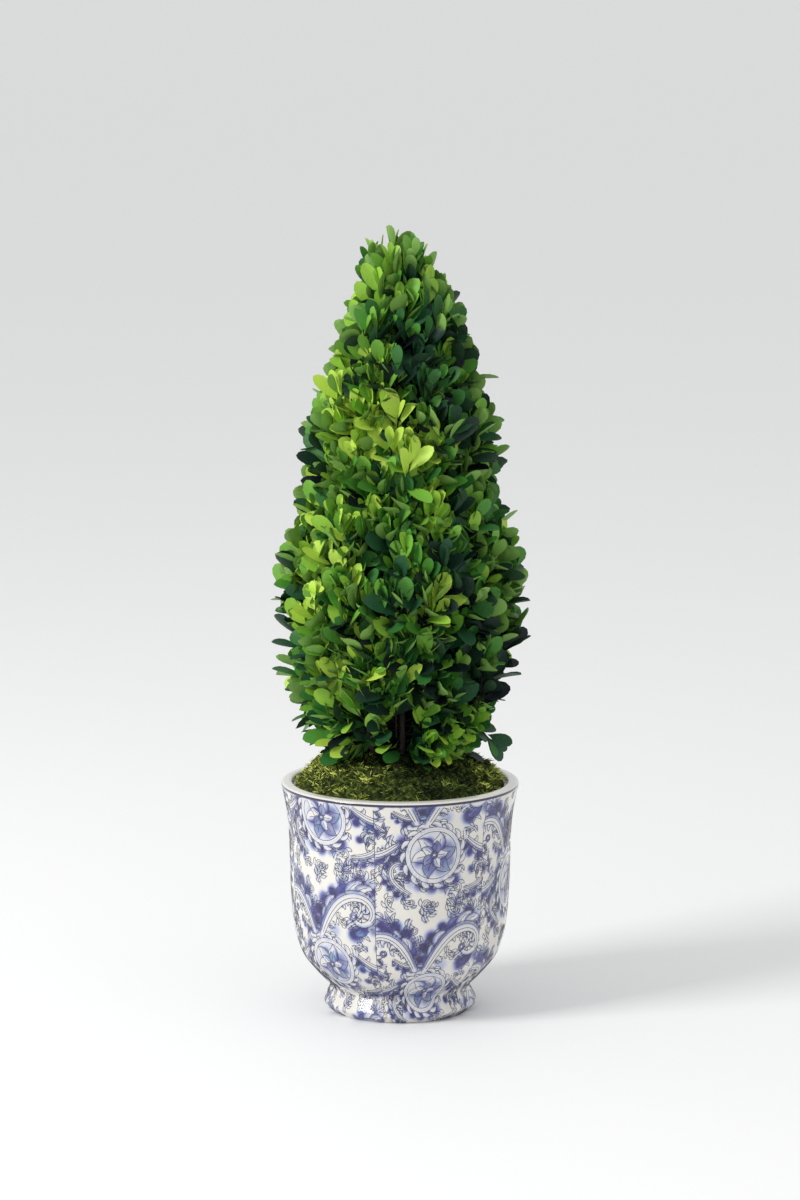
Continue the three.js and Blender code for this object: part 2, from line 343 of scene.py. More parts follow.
class Brush:
    """Collects the painted shapes. Each is a spine of centres with a radius at each, an amount of blue, the
    side on which it is darker, its outline and veins, and how soft its edge is. Later shapes lie over earlier
    ones."""

    def __init__(self):
        self.shapes = []

    def stroke(self, spine, radii, blue, lean=0.0, lines=1, soft=0.3):
        """Lays a shape over the earlier ones; a single centre makes a dot."""
        spine = np.atleast_2d(np.asarray(spine, float))
        self.shapes.append((spine, np.broadcast_to(radii, len(spine)).astype(float), blue, lean, lines, soft))

    def pool(self, centre, radius, blue):
        """A wash that has run: soft, without an outline."""
        self.stroke(centre, radius, blue, 0.0, 0, radius * 0.65)

    def leaf(self, root, heading, length, width, bend, blue, lean, veins=1):
        """A lobe: its spine turns by bend over its length, and its radius is
        0.25 + width sin(pi u^0.62)^0.85."""
        u = np.linspace(0, 1, 7)
        turn = heading + bend * u**1.3
        steps = direction(turn) * length / 6
        spine = root + np.concatenate([[[0, 0]], np.cumsum(steps[:-1], axis=0)])
        radii = 0.25 + width * np.sin(np.pi * np.clip(u, 0.02, 0.985) ** 0.62) ** 0.85
        self.stroke(spine, radii, blue, lean, 1 + veins)


def scroll_curve(root, heading, length, first, last, count=56):
    """A curve that winds up: its curvature grows from first to last, in turns over the whole length, as
    first + (last - first) u^1.5. Gives its points and its headings."""
    u = np.linspace(0, 1, count)
    turn = heading + TAU * (first * u + (last - first) * u**2.5 / 2.5)
    steps = direction(turn) * length / (count - 1)
    return np.asarray(root, float) + np.cumsum(steps, axis=0), turn


def paint_acanthus(brush, scroll, rng, lobes, inner):
    """An acanthus scroll: a tapering strap along a winding curve, with curled lobes along its outside,
    smaller ones inside, washes pooled behind them and an eye where it ends."""
    x, y, heading, length, wind, width, lobe = scroll
    spine, turn = scroll_curve((x, y), heading, length, 0.0, wind)
    hand = 1.0 if wind > 0 else -1.0
    along = direction(turn)
    outward = np.stack([along[:, 1], -along[:, 0]], -1) * hand
    u = np.linspace(0, 1, len(spine))
    strap = width * (0.3 + 0.8 * np.sin(np.pi * np.clip(u * 0.8 + 0.12, 0, 1)) ** 1.2) * (1 - 0.45 * u)
    for k in np.linspace(4, 50, lobes + 1).astype(int):
        spread = lobe * rng.uniform(0.22, 0.4)
        brush.pool(spine[k] + outward[k] * (strap[k] + spread * 1.1), spread, rng.uniform(0.7, 1.4))
    for i in range(lobes):
        part = (i + 0.5 * rng.uniform()) / lobes
        k = int(55 * (0.02 + 0.9 * part))
        size = lobe * (0.5 + 0.65 * np.sin(np.pi * (0.1 + 0.8 * part))) * rng.uniform(0.85, 1.15)
        angle = turn[k] - hand * rng.uniform(0.55, 0.95)
        base = spine[k] + outward[k] * strap[k] * 0.3
        full = rng.uniform() < 0.4
        lean = 0.0 if full else -hand
        curl = hand * rng.uniform(1.2, 2.6)
        brush.leaf(base, angle, size, size * rng.uniform(0.2, 0.28), curl, 1.15 if full else 0.9, lean)
    for i in range(inner):
        k = int(55 * (0.1 + 0.7 * (i + rng.uniform()) / inner))
        size = lobe * rng.uniform(0.4, 0.7)
        angle = turn[k] + hand * rng.uniform(0.5, 0.9)
        base = spine[k] - outward[k] * strap[k] * 0.3
        curl = hand * rng.uniform(1.2, 2.6)
        brush.leaf(base, angle, size, size * 0.22, curl, rng.uniform(0.6, 1.1), hand, 0)
    brush.stroke(spine, strap, 0.9, -hand, 3)
    brush.stroke(spine[-2], width * 0.62, 1.1)
    brush.stroke(spine[-2], width * 0.28, 0.05)


def paint_medallion(brush, centre, size, rng):
    """A round medallion: a ring with small scallops outside, and an open flower over blue washes."""
    for angle in np.linspace(2.7, 5.4, 8):
        spot = centre + direction(angle) * size * 1.12
        brush.pool(spot, size * rng.uniform(0.16, 0.26), rng.uniform(0.9, 1.2))
    for i in range(15):
        angle = TAU * i / 15 + 0.1
        base = centre + direction(angle) * size * 0.95
        brush.leaf(base, angle + 0.8, size * 0.42, size * 0.09, 1.5, rng.uniform(0.6, 1.1), 1, 0)
    brush.stroke(centre, size * 0.98, 0.03)
    brush.stroke(centre, size * 0.82, 0.12)
    brush.stroke(centre + direction(np.linspace(0, TAU, 72)) * size * 0.93, size * 0.05, 0.45, 0.9, 0, 0.4)
    for angle in np.linspace(0.4, 0.4 + TAU * 7 / 8, 8):
        spot = centre + direction(angle) * size * rng.uniform(0.4, 0.6)
        brush.pool(spot, size * rng.uniform(0.2, 0.3), rng.uniform(0.35, 1.1))
    for ring, petals, reach in ((0.18, 6, 0.62), (0.1, 5, 0.4)):
        for i in range(petals):
            angle = TAU * (i + 1.6 * ring) / petals
            base = centre + direction(angle) * size * ring
            full = rng.uniform() < 0.4
            lean = 0.0 if full else rng.choice([-1.0, 1.0])
            brush.leaf(base, angle - 0.4, size * reach, size * 0.37 * reach, 1.0, 0.8 if full else 1.1, lean)
    brush.stroke(centre, size * 0.13, 1.0)
    brush.stroke(centre, size * 0.06, 0.05)


def paint_curl(brush, centre, size, heading, hand, rng):
    """A small tendril that winds up, with three leaves along its outside and one inside."""
    spine, turn = scroll_curve(centre, heading, size * 2.1, hand * 0.1, hand * 2.4, 20)
    blue = rng.choice([0.15, 0.4, 0.95])
    for k, reach in ((1, 0.5), (5, 0.6), (10, 0.45)):
        brush.leaf(spine[k], turn[k] - hand * 0.8, size * reach, size * 0.11, hand * 1.8, blue, -hand, 0)
    brush.leaf(spine[3], turn[3] + hand * 0.8, size * 0.45, size * 0.09, hand * 1.6, blue, hand, 0)
    brush.stroke(spine, np.linspace(size * 0.1, size * 0.04, 20), blue * 0.8, -hand)
    brush.stroke(spine[-1], size * 0.09, blue)


def paint_fan(brush, root, size, heading, rng):
    """A palmette: five to seven lobes spread from one root, the middle one longest."""
    count = rng.integers(5, 8)
    for i in rng.permutation(count):
        part = 2 * i / (count - 1) - 1
        reach = size * (1 - 0.4 * part**2)
        blue = rng.uniform(0.7, 1.15)
        full = 0.0 if rng.uniform() < 0.3 else np.sign(part + 0.01)
        brush.leaf(root, heading - part * 1.25, reach, size * 0.13, -part * 1.6, blue, full)
    brush.stroke(root, size * 0.1, 0.9)


def paint_heart(brush, centre, size, heading, rng):
    """Two curls that meet in a point: a heart of thin strap, pale inside."""
    for hand in (1, -1):
        spine, _ = scroll_curve(centre, heading + hand * 0.7, size * 2.6, -hand * 0.2, -hand * 2.0, 22)
        brush.stroke(spine, np.linspace(size * 0.12, size * 0.05, 22), rng.uniform(0.7, 1.1), hand, 1)


# What stands on the sheet: root x and y, heading and size; for scrolls length, winding, strap and lobe.
FANS = [(10, 12, 1.2, 11), (70, 60, 0.4, 11), (12, 92, 2.4, 11), (58, 104, 1.2, 10), (76, 22, -0.6, 10)]
FANS += [(8, 50, 2.8, 9)]
HEARTS = [(40, 62, 1.57, 10), (20, 8, 2.2, 7), (70, 84, 0.6, 7)]
SMALL_SCROLLS = [
    (64, 6, 0.1, 46, 2.3, 2.6, 8),
    (26, 4, 2.6, 46, -2.3, 2.6, 8),
    (66, 44, -0.7, 52, 2.2, 3.2, 10),
    (18, 42, -2.5, 50, -2.2, 3.2, 10),
    (12, 66, -0.6, 36, 2.4, 2.2, 7),
]
GREAT_SCROLLS = [(30, 56, 2.0, 74, 2.2, 4.2, 13), (36, 55, 1.1, 92, -2.3, 4.8, 15)]
MEDALLION, MEDALLION_SIZE = np.array([42.0, 33.0]), 21.0
TENDRILS = 70


def sheet_shapes():
    """Every shape of one sheet, in millimetres from its lower left corner. Washes and tendrils go down first,
    then the fans, hearts and small scrolls, and the medallion and the great scrolls over them."""
    rng = np.random.default_rng(41)
    brush = Brush()
    number = np.arange(TENDRILS)
    spots = np.stack([(number * 0.618034 % 1) * SHEET_WIDTH, SHEET_HEIGHT * (number + 0.5) / TENDRILS], -1)
    for spot in spots[::7] + rng.normal(0, 4, (10, 2)):
        brush.pool(spot, rng.uniform(3, 5.5), rng.uniform(0.3, 0.8))
    for spot in spots[rng.permutation(TENDRILS)]:
        paint_curl(brush, spot, rng.uniform(8, 14), rng.uniform(0, TAU), rng.choice([-1, 1]), rng)
    for paint, places in ((paint_fan, FANS), (paint_heart, HEARTS)):
        for x, y, heading, size in places:
            paint(brush, np.array([x, y], float), size, heading, rng)
    for scroll in SMALL_SCROLLS:
        paint_acanthus(brush, scroll, rng, lobes=7, inner=3)
    paint_medallion(brush, MEDALLION, MEDALLION_SIZE, rng)
    for scroll in GREAT_SCROLLS:
        paint_acanthus(brush, scroll, rng, lobes=9, inner=5)
    return brush.shapes


def away(places, centre):
    """Offsets of places from a centre on the sheet, taken the short way up or down, as the sheet repeats."""
    offset = places[..., None, :] - centre
    offset[..., 1] = (offset[..., 1] + SHEET_HEIGHT / 2) % SHEET_HEIGHT - SHEET_HEIGHT / 2
    return offset


def spine_frame(spine):
    """Unit tangents of a spine; a dot's point up and to the right."""
    if len(spine) < 2:
        return np.full((1, 2), 0.7071)
    return unit(np.gradient(spine, axis=0))


def paint_sheet(shapes):
    """The amount of blue on a grid over the sheet. Inside a shape, where the least of |p - c| - r is below
    zero, the amount is blue times a smooth step across the shape towards its dark side, and a little more at
    its edge. Soft shapes only add to what is there."""
    x = np.arange(0, SHEET_WIDTH + SHEET_GRID, SHEET_GRID)
    y = np.arange(0, SHEET_HEIGHT, SHEET_GRID)
    place = np.stack(np.meshgrid(x, y), -1)
    wash = np.zeros(place.shape[:-1])
    for spine, radii, blue, lean, _, soft in shapes:
        middle = (spine.min(0) + spine.max(0)) / 2
        reach = (spine.max(0) - spine.min(0)) / 2 + radii.max() + soft + 1
        near = (np.abs(away(place, middle)[..., 0, :]) < reach).all(-1)
        offset = away(place[near], spine)
        gap = np.linalg.norm(offset, axis=-1) - radii
        k = gap.argmin(1)
        row = np.arange(len(k))
        gap, offset = gap[row, k], offset[row, k]
        along = spine_frame(spine)[k]
        side = (offset[:, 1] * along[:, 0] - offset[:, 0] * along[:, 1]) / np.maximum(radii[k], 0.3)
        inside = 1 - smooth_step(gap, -soft, soft * 0.8)
        if soft > SOFT:
            wash[near] = np.maximum(wash[near], blue * inside)
            continue
        shade = blue * (0.06 if lean else 1.0)
        shade = shade + blue * abs(lean) * smooth_step(side * np.sign(lean), -0.05, 0.95)
        shade = shade * (1 - 0.3 * k / len(radii)) + 0.1 * smooth_step(gap, -0.8, 0)
        wash[near] = wash[near] * (1 - inside) + shade * inside
    return wash


def sheet_lines(shapes):
    """The ends of every visible stretch of line on the sheet. Each shape has an outline, its spine plus and
    minus its radius; more lines run inside it, at shares of the radius. Stretches under a later shape are
    left out."""
    first, second = [], []
    for number, (spine, radii, _, _, lines, _) in enumerate(shapes):
        if not lines:
            continue
        runs = []
        if len(spine) > 1:
            along = spine_frame(spine)
            normal = np.stack([-along[:, 1], along[:, 0]], -1) * radii[:, None]
            tip = spine[-1:] + along[-1:] * radii[-1]
            runs.append(np.concatenate([spine + normal, tip, (spine - normal)[::-1]]))
            inner = {1: [], 2: [0.0], 3: [-0.35, 0.4]}[lines]
            last = len(spine) - max(2, len(spine) // 5)
            runs += [(spine + share * normal)[1:last] for share in inner]
        else:
            turn = np.linspace(0, TAU, max(9, int(radii[0] * 3)) + 1)
            runs.append(spine[0] + direction(turn) * radii[0])
        a = np.concatenate([run[:-1] for run in runs])
        b = np.concatenate([run[1:] for run in runs])
        middle = (a + b) / 2
        seen = np.linalg.norm(b - a, axis=1) > 0.12
        centre, spread = middle.mean(0), np.ptp(middle, axis=0) / 2
        for over, reach, _, _, _, soft in shapes[number + 1 :]:
            if soft > SOFT:
                continue
            gap = np.abs(away(over.mean(0), centre)[0])
            if (gap > np.ptp(over, axis=0) / 2 + reach.max() + spread + 20).any():
                continue
            seen &= (np.linalg.norm(away(middle, over), axis=-1) - reach).min(1) > -0.12
        first.append(a[seen])
        second.append(b[seen])
    return np.concatenate(first), np.concatenate(second)


def strip_of(s):
    """Which strip a place round the wall is in, and how far across it."""
    share = ((s - FIRST_SEAM) / SHEET_WIDTH) % STRIPS
    strip = np.minimum(share.astype(int), STRIPS - 1)
    return strip, (share - strip) * SHEET_WIDTH


def read_sheet(wash, place):
    """The sheet's blue at each (s, t) of the wall, between its four nearest grid points."""
    strip, x = strip_of(place[..., 0])
    y = (place[..., 1] + STRIP_SHIFTS[strip]) % SHEET_HEIGHT
    rows, columns = wash.shape
    i, j = y / SHEET_GRID, np.clip(x / SHEET_GRID, 0, columns - 1.001)
    i0, j0 = i.astype(int) % rows, j.astype(int)
    v, u = i % 1, j % 1
    i1 = (i0 + 1) % rows
    low = wash[i0, j0] * (1 - u) + wash[i0, j0 + 1] * u
    high = wash[i1, j0] * (1 - u) + wash[i1, j0 + 1] * u
    return low * (1 - v) + high * v


def lay_lines(a, b):
    """The sheet's lines in every strip, in (s, t), cut off at the seams, the foot and the lip."""
    first, second = [], []
    across, up = ((a + b) / 2).T
    clear = (across > 0.3) & (across < SHEET_WIDTH - 0.3)
    for strip in range(STRIPS):
        s = FIRST_SEAM + strip * SHEET_WIDTH
        for lap in range(-1, 4):
            shift = np.array([s, lap * SHEET_HEIGHT - STRIP_SHIFTS[strip]])
            keep = clear & (up + shift[1] > 1) & (up + shift[1] < WALL_LENGTH[-1] - 0.8)
            first.append(a[keep] + shift)
            second.append(b[keep] + shift)
        seam = np.linspace(2, WALL_LENGTH[-1] - 2, 60)
        edge = np.stack([np.full(60, s), seam], -1)
        first.append(edge[:-1])
        second.append(edge[1:])
    return np.concatenate(first), np.concatenate(second)


SHAPES = sheet_shapes()


# ---------------------------------------------------------------- the crown's outline and the moss


CROWN_RADIUS = 88.0
WIDEST = 305.0
WAIST = 375.0


def crown_radius(height):
    """Half the width of the clipped cone at a height: the full radius times a taper above the widest place,
    (1 - up^1.35)^0.58, a tuck below it, 1 - 0.12 down^1.2 - 0.21 down^6, and a shallow waist."""
    up = np.clip((height - WIDEST) / (CROWN_TOP + 4 - WIDEST), 0, 1)
    down = np.clip((WIDEST - height) / 120, 0, 1)
    taper = (1 - up**1.35) ** 0.58
    tuck = 1 - 0.12 * down**1.2 - 0.21 * down**6
    waist = 1 - 0.06 * np.exp(-(((height - WAIST) / 24) ** 2))
    return CROWN_RADIUS * taper * tuck * waist


MOSS_RADIUS = MOSS_BOX[1][0]
MOSS_EDGE = 165.5
MOSS_RISE = 24.0


def moss_height(radius):
    """The moss's height at a radius, without its lumps: edge + rise (1 - (r / R)^4)."""
    return MOSS_EDGE + MOSS_RISE * (1 - np.minimum(1, radius / MOSS_RADIUS) ** 4)


def moss_surface(places):
    """The moss's height over flat places, moss_height(r) and lumps that fade out at the planter's wall. Also
    gives the lumps: large and small waves added."""
    radius = np.hypot(places[..., 0], places[..., 1])
    lumps = 2.0 * waves(places, 17, 21) + 1.3 * waves(places, 7, 22)
    return moss_height(radius) + lumps * (1 - smooth_step(radius, MOSS_RADIUS - 5, MOSS_RADIUS)), lumps


def polar(angle, radius, height):
    """A point at an angle from the front, a radius from the stem and a height."""
    parts = [radius * np.sin(angle), -radius * np.cos(angle), height + 0 * angle]
    return np.stack(np.broadcast_arrays(*parts), -1)


# ---------------------------------------------------------------- leaves

STATIONS = np.array([0.10, 0.26, 0.46, 0.66, 0.83, 0.95])
HALF_WIDTHS = np.array([0.15, 0.50, 0.84, 1.0, 0.88, 0.52])
LEAF_POINTS = 26


def leaf_faces():
    """Quads and triangles of one leaf, the upper side's first. Point 0 is the base and 1 the tip; then come
    six points of the left edge, six of the right, six of the upper midrib and six of the lower."""
    left, right, top, under = (np.arange(6) + start for start in (2, 8, 14, 20))

    def side(l, m, r):
        """The faces between an edge, the midrib and the other edge, seen from outside."""
        quads = np.concatenate(
            [
                np.stack([m[:-1], r[:-1], r[1:], m[1:]], -1),
                np.stack([l[:-1], m[:-1], m[1:], l[1:]], -1),
            ]
        )
        ends = np.array([[0, r[0], m[0]], [0, m[0], l[0]], [m[5], r[5], 1], [l[5], m[5], 1]])
        return quads, ends

    upper, lower = side(left, top, right), side(right, under, left)
    return np.concatenate([upper[0], lower[0]]), np.concatenate([upper[1], lower[1]])


LEAF_QUADS, LEAF_TRIANGLES = leaf_faces()


def leaf_edge_table():
    """Which pairs of a leaf's points are ends of an edge on its outline."""
    table = np.zeros((LEAF_POINTS, LEAF_POINTS), bool)
    loop = [0, *range(8, 14), 1, *range(7, 1, -1), 0]
    table[loop[:-1], loop[1:]] = True
    return table | table.T


LEAF_EDGES = leaf_edge_table()


def leaf_points(base, along, face, length, width, fold, bend):
    """Points of every leaf: base + along y L + side x W + face h, with x and y from the outline,
    h = fold |x| W + bend L y^2 on the upper side, and a midrib 0.35 thick under it."""
    face = unit(face - along * np.sum(face * along, -1, keepdims=True))
    side = np.cross(along, face)
    y = np.concatenate([[0, 1], STATIONS, STATIONS, STATIONS, STATIONS])
    x = np.concatenate([[0, 0], -HALF_WIDTHS, HALF_WIDTHS, np.zeros(12)])
    thick = np.concatenate([np.zeros(20), np.full(6, 0.35)])
    h = fold[:, None] * np.abs(x) * width[:, None] + bend[:, None] * length[:, None] * y**2 - thick
    points = base[:, None] + along[:, None] * (y * length[:, None])[..., None]
    return points + side[:, None] * (x * width[:, None])[..., None] + face[:, None] * h[..., None]


# Dents in the clipped face: angle in degrees, height, size and depth.
DENTS = [
    (-85, 465, 28, 12),
    (-90, 508, 15, 7),
    (-88, 476, 15, 9),
    (-4, 480, 15, 8),
    (84, 522, 13, 6),
    (84, 478, 18, 5),
    (-90, 385, 14, 5),
    (92, 352, 16, 6),
    (95, 225, 26, 9),
    (160, 350, 30, 5),
    (215, 440, 26, 5),
]


def grow_sprigs(count, depth, seed, low=188.0, high=None):
    """Sprigs spread evenly over the clipped face by the golden angle. Each axis is a quadratic Bezier that
    leaves its twig outwards and turns up to its tip, which is moved in and out by waves, by chance and by the
    dents. Gives each one's root, bend and tip, its length, its outward direction and its height."""
    rng = np.random.default_rng(seed)
    high = CROWN_TOP - 25 if high is None else high
    z = np.linspace(low, high, 500)
    radius = np.maximum(crown_radius(z) * depth - 14, 2)
    area = np.cumsum(radius * np.hypot(1, np.gradient(radius, z)))
    share = (np.arange(count) + 0.5) / count
    height = np.interp(share, area / area[-1], z) + rng.normal(0, 2.5, count)
    angle = np.arange(count) * GOLDEN_ANGLE + rng.normal(0, 0.05, count)
    outward = polar(angle, 1.0, 0 * angle)
    sideways = np.stack([np.cos(angle), np.sin(angle), 0 * angle], -1)
    climb = 69 + 15 * smooth_step(height, 430, 540) - 50 * smooth_step(-height, -255, -190)
    climb = np.radians(climb + rng.normal(0, 10, count) * (1 - 0.6 * smooth_step(height, 460, 540)))
    swing = rng.normal(0, np.radians(18), count)
    face = polar(angle, crown_radius(height), height)
    ragged = 3 * waves(face, 55, seed + 40) + 3 * waves(face, 24, seed + 41) + rng.normal(0, 2, count)
    ragged += 6 * (rng.uniform(size=count) > 0.96)
    ragged = ragged * (1 - 0.4 * smooth_step(height, 480, 540)) - 3 * smooth_step(height, 495, 515)
    ragged += 5 * smooth_step(height, 522, 538)
    tip_radius = crown_radius(height) * depth - 18 - 8 * np.cos(climb) + ragged * np.minimum(1, depth**3)
    for where, level, size, amount in DENTS:
        gap = np.sum((face - polar(np.radians(where), crown_radius(level), level)) ** 2, axis=1)
        tip_radius -= amount * np.exp(-gap / size**2)
    tip = polar(angle, np.maximum(tip_radius, 1.5), height)
    tip[:, 0] -= 5 * smooth_step(height, 522, 555)

    def heading(rise, turn):
        """Directions that climb by rise from level and swing sideways by turn."""
        level = outward * np.cos(turn)[:, None] + sideways * np.sin(turn)[:, None]
        return level * np.cos(rise)[:, None] + UP * np.sin(rise)[:, None]

    last = heading(climb, swing)
    first = heading(climb - np.radians(24), swing * 0.5)
    length = np.minimum(rng.normal(38, 4, count), np.maximum(tip_radius, 1.5) + 14)
    bend = tip - last * (length / 2)[:, None]
    root = bend - first * (length / 2)[:, None]
    sprigs = {"root": root, "bend": bend, "tip": tip, "length": length, "outward": outward, "height": height}
    full = waves(face * [1, 1, 0.7], 22, seed + 42) > -0.68
    thinned = 0.62 * smooth_step(height, 490, 525) * (1 - smooth_step(height, 530, 540))
    full &= rng.uniform(size=count) > thinned
    return pick(sprigs, clear_of_boughs(tip, 9.0) & full)


def stray_sprig():
    """The one long sprig that hangs out over the lip, low on the right."""
    angle = np.radians([72.0])
    stations = {"root": (42, 206), "bend": (59, 212), "tip": (67, 200)}
    sprig = {name: polar(angle, radius, height) for name, (radius, height) in stations.items()}
    sprig["outward"] = polar(angle - 1, 1.0, 0.0)
    return {**sprig, "length": np.array([40.0]), "height": np.array([200.0])}


def clear_of_boughs(places, room):
    """True away from the gaps at the crown's foot where the first two boughs show; room is half a gap's
    width."""
    angle = np.arctan2(places[..., 0], -places[..., 1])
    radius = np.hypot(places[..., 0], places[..., 1])
    clear = np.ones(places.shape[:-1], bool)
    for bough in BOUGH_ANGLES[:2]:
        beside = (np.abs(radius * np.sin(angle - bough)) > room) | (np.cos(angle - bough) < 0)
        clear &= beside | (places[..., 2] > BOUGH_TOP - 2)
    return clear


# Lighter and darker places of the crown, painted light and painted shade: angle in degrees, height, size, and
# steps of tone (more is darker).
LIGHT_AND_SHADE_PATCHES = [
    (-28, 452, 36, -1.9),
    (-50, 425, 22, -1.0),
    (21, 405, 26, -1.7),
    (-46, 350, 45, -0.8),
    (15, 303, 16, -1.6),
    (42, 455, 34, 2.9),
    (-4, 478, 17, 3.2),
    (0, 552, 26, -0.8),
    (8, 338, 34, 1.6),
    (42, 275, 36, 1.8),
    (-8, 240, 22, 0.8),
    (150, 400, 40, -1.2),
    (200, 300, 40, 1.2),
    (250, 430, 35, 1.0),
    (110, 300, 30, -1.0),
]


def light_and_shade_of_place(points):
    """The painted light and shade at each point: the sum of the patches, each fading as exp(-(d / size)^2).
    """
    total = np.zeros(len(points))
    for angle, height, size, steps in LIGHT_AND_SHADE_PATCHES:
        centre = polar(np.radians(angle), crown_radius(height) - 14, height)
        total += steps * np.exp(-(np.sum((points - centre) ** 2, axis=1) / size**2))
    return total


# Each pair of leaves on a sprig, from its tip to its root: how far back it stands, its scale, its lean in
# degrees, how many steps of painted shade it takes for standing further back, and the darkest tone it takes
# on.
PAIRS = np.array(
    [
        (0.0, 0.68, 13, 0.0, 5.0),
        (6.0, 0.92, 25, 0.4, 5.6),
        (13.0, 1.04, 35, 1.5, 6.3),
        (20.5, 1.04, 44, 3.0, 7.0),
        (28.5, 0.98, 52, 4.2, 7.0),
    ]
)


def grow_leaves(sprigs, pairs, leaf_length, leaf_width, seed, shade_shift=0.0):
    """Leaves in opposite pairs along each sprig, each pair a quarter turn from the last. All turn their upper
    side outwards and up; near the crown's tip they are smaller and closer to the axis. The tone runs from 0,
    lightest, to 7, darkest: the sum of the sprig's own random tone, painted shade on the crown's right side,
    painted light and shade for its place in the crown, painted shade for how far back the pair stands, and
    shade_shift, painted shade that darkens a whole group."""
    rng = np.random.default_rng(seed)
    count = len(sprigs["length"])
    back, scale, lean, depth, limit = PAIRS[:pairs].T
    shape = (count, pairs, 2)
    u = 1 - (back * rng.uniform(0.85, 1.15, (count, 1))) / sprigs["length"][:, None]
    u = np.clip(u, 0.02, 1)[..., None]
    a, b, c = (sprigs[k][:, None] for k in ("root", "bend", "tip"))
    node = bezier(a, b, c, u)
    axis = unit((1 - u) * (b - a) + u * (c - b))
    e1 = unit(np.cross(axis, UP + 0.3 * sprigs["outward"][:, None]))
    e2 = np.cross(axis, e1)
    roll = rng.uniform(0, TAU, (count, 1, 1)) + np.arange(pairs)[:, None] * np.pi / 2
    roll = roll + np.array([0, np.pi]) + rng.normal(0, 0.22, shape)
    radial = np.cos(roll)[..., None] * e1[:, :, None] + np.sin(roll)[..., None] * e2[:, :, None]
    gather = 1 - 0.45 * smooth_step(sprigs["height"], 470, 540)
    young = smooth_step(sprigs["height"], 505, 540)[:, None, None]
    tilt = np.radians(lean)[:, None] + rng.normal(0, 0.17, shape)
    tilt = (tilt * gather[:, None, None])[..., None]
    axis = axis[:, :, None]
    along = unit(axis * np.cos(tilt) + radial * np.sin(tilt) + rng.normal(0, 0.06, (*shape, 3)))
    light = unit(sprigs["outward"] + 0.55 * UP)[:, None, None]
    face = axis * np.sin(tilt) - radial * np.cos(tilt)
    face = unit(0.5 * face + (1.1 - 0.8 * young[..., None]) * light + rng.normal(0, 0.17, (*shape, 3)))
    length = np.clip(rng.normal(leaf_length, leaf_length * 0.12, shape), 12, 31)
    length = length * scale[:, None] * (1 - 0.15 * young)
    width = length * leaf_width / leaf_length / 2 * rng.normal(1, 0.09, shape) * (1 - 0.15 * young)
    fold = rng.normal(0.24, 0.1, shape)
    bend = rng.normal(-0.06, 0.08, shape)
    base = np.broadcast_to(node[:, :, None], (*shape, 3)) + radial * 0.7
    # Painted shade: sprigs on the right, away from the key light, are darker.
    side = 0.75 * sprigs["outward"][:, 0]
    tone_and_shade = 0.6 * waves(sprigs["tip"], 50, seed + 5) + side + rng.normal(0, 1.1, count)
    tone_and_shade = tone_and_shade * (1 - 0.5 * smooth_step(sprigs["height"], 500, 540)) + light_and_shade_of_place(sprigs["tip"])
    tone = (1.6 + tone_and_shade + shade_shift)[:, None, None] + depth[:, None] + rng.normal(0, 0.5, shape)
    tone = np.minimum(tone, limit[:, None] + shade_shift)
    tone = np.clip(np.round(tone), 0, DARKEST).astype(int)
    height = np.broadcast_to(sprigs["height"][:, None, None], shape)
    places = {"base": base, "along": along, "face": face}
    numbers = {"length": length, "width": width, "fold": fold, "bend": bend, "tone": tone, "height": height}
    flat = {key: value.reshape(-1, 3) for key, value in places.items()}
    return flat | {key: value.ravel() for key, value in numbers.items()}


def pick(things, keep):
    """The leaves or sprigs for which keep is true."""
    return {key: value[keep] for key, value in things.items()}


def join(groups):
    """Several sets of leaves or sprigs as one."""
    return {key: np.concatenate([group[key] for group in groups]) for key in groups[0]}


REACH = 95.5


def clear_of_planter(leaves):
    """True for leaves that stay above the moss and over the planter's lip, within the crown's furthest reach,
    and out of the boughs' gaps."""
    tip = leaves["base"] + leaves["along"] * leaves["length"][:, None]
    middle = (tip + leaves["base"]) / 2
    radius = np.hypot(tip[:, 0], tip[:, 1])
    floor = np.where(radius < MOSS_RADIUS, moss_height(radius) + 1.5, 170.0)
    near = (tip[:, 2] > floor) & (radius < REACH)
    return near & clear_of_boughs(tip, 6.0) & clear_of_boughs(middle, 6.0)


# The eight greens of the upper sides, from light to dark, and two of the undersides. The steps between them
# stand for the leaves' own variation and for painted light and painted shade; the darker underside is painted
# shade.
LEAF_COLOURS = [
    ("Leaf lime", (178, 210, 78)),
    ("Leaf fresh green", (142, 188, 62)),
    ("Leaf grass green", (108, 164, 54)),
    ("Leaf green", (74, 136, 48)),
    ("Leaf deep green", (48, 104, 44)),
    ("Leaf blue green", (32, 76, 46)),
    ("Leaf shaded green", (20, 46, 34)),
    ("Leaf dark", (9, 20, 26)),
    ("Leaf underside", (118, 160, 76)),
    ("Leaf underside shaded", (34, 62, 40)),
]
DARKEST = 7


def leaf_material(name, colour):
    """A satin leaf of a plain colour, faintly grained."""
    return make_finish(name, srgb(*colour), 0.46, (420, 0.35), specular=0.32)


def bark_material():
    """Grey-brown bark with lengthwise furrows, darkened beyond its own colour as painted shade for the stems
    and twigs under the crown.
    """
    stops = [(0.3, (18, 15, 20)), (0.55, (42, 35, 34)), (0.75, (72, 61, 52))]
    return make_finish("Bark", srgb(62, 52, 44), 0.85, (500, 0.8, 0.25), specular=0.2, stops=stops)


# ---------------------------------------------------------------- settings


